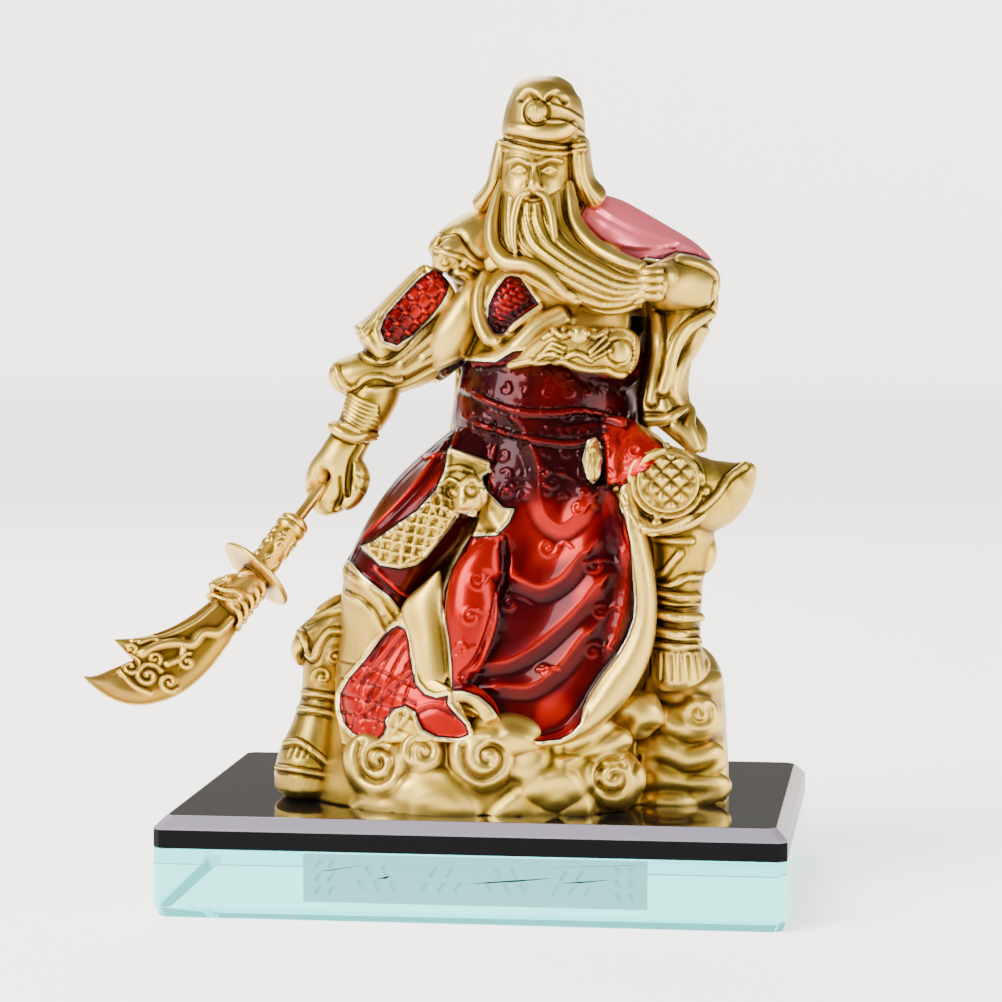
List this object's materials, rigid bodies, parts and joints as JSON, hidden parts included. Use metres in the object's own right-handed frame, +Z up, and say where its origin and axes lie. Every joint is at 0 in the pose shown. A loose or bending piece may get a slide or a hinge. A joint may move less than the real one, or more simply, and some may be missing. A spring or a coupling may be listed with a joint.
{
  "type": "guan yu statue",
  "caption": "Gilt and red enamelled cast warrior holding a glaive, on scrolling clouds, on a black glass plate over a clear glass block.",
  "frame": {"origin": "centre of the stand's underside", "axes": "+Z up, the figure faces -Y, +X to the right of someone who looks at its face"},
  "size_m": [0.1338, 0.0841, 0.1597],
  "materials": {
    "gilt_casting": "satin gilt",
    "gilt_glaive": "satin gilt, thinner and brighter",
    "red_enamel": "glossy enamel",
    "black_glass": "polished, opaque",
    "clear_glass": "polished, clear, faintly green"
  },
  "bodies": {
    "root": {"figure": "gilt_casting", "glaive": "gilt_glaive", "black_glass_plate": "black_glass", "clear_glass_block": "clear_glass"}
  },
  "joints": []
}
